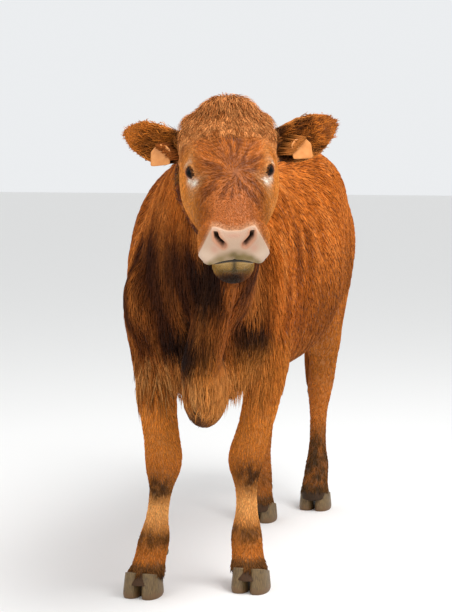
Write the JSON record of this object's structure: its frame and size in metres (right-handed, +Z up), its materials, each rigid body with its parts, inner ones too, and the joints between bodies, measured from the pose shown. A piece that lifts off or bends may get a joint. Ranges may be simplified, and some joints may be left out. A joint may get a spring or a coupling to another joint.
{
  "type": "cow",
  "caption": "Still, life-size model of a young polled red-brown beef cow, standing and looking to its left, with a blank orange tag in each ear",
  "frame": {"origin": "the middle of the bounding box, on the floor under the hooves", "axes": "the cow's left side is +X, it faces -Y, and up is +Z"},
  "size_m": [0.722, 2.096, 1.41],
  "materials": {
    "coat": "short red-brown hair over skin, paler round the eyes and muzzle",
    "horn": "grey-brown horn, dull",
    "eye": "wet, dark brown",
    "tag": "orange flexible plastic, blank"
  },
  "bodies": {
    "root": {"head": "coat", "neck": "coat", "trunk": "coat", "tail": "coat", "foreleg_left": "coat", "foreleg_right": "coat", "hindleg_left": "coat", "hindleg_right": "coat", "ear_left": "coat", "ear_right": "coat", "eye_left": "eye", "eye_right": "eye", "tag_left": "tag", "tag_right": "tag", "tag_button_left": "tag", "tag_button_right": "tag", "claw_fore_left_a": "horn", "claw_fore_left_b": "horn", "claw_fore_right_a": "horn", "claw_fore_right_b": "horn", "claw_hind_left_a": "horn", "claw_hind_left_b": "horn", "claw_hind_right_a": "horn", "claw_hind_right_b": "horn", "dewclaw_fore_left_a": "horn", "dewclaw_fore_left_b": "horn", "dewclaw_fore_right_a": "horn", "dewclaw_fore_right_b": "horn", "dewclaw_hind_left_a": "horn", "dewclaw_hind_left_b": "horn", "dewclaw_hind_right_a": "horn", "dewclaw_hind_right_b": "horn"}
  },
  "joints": []
}
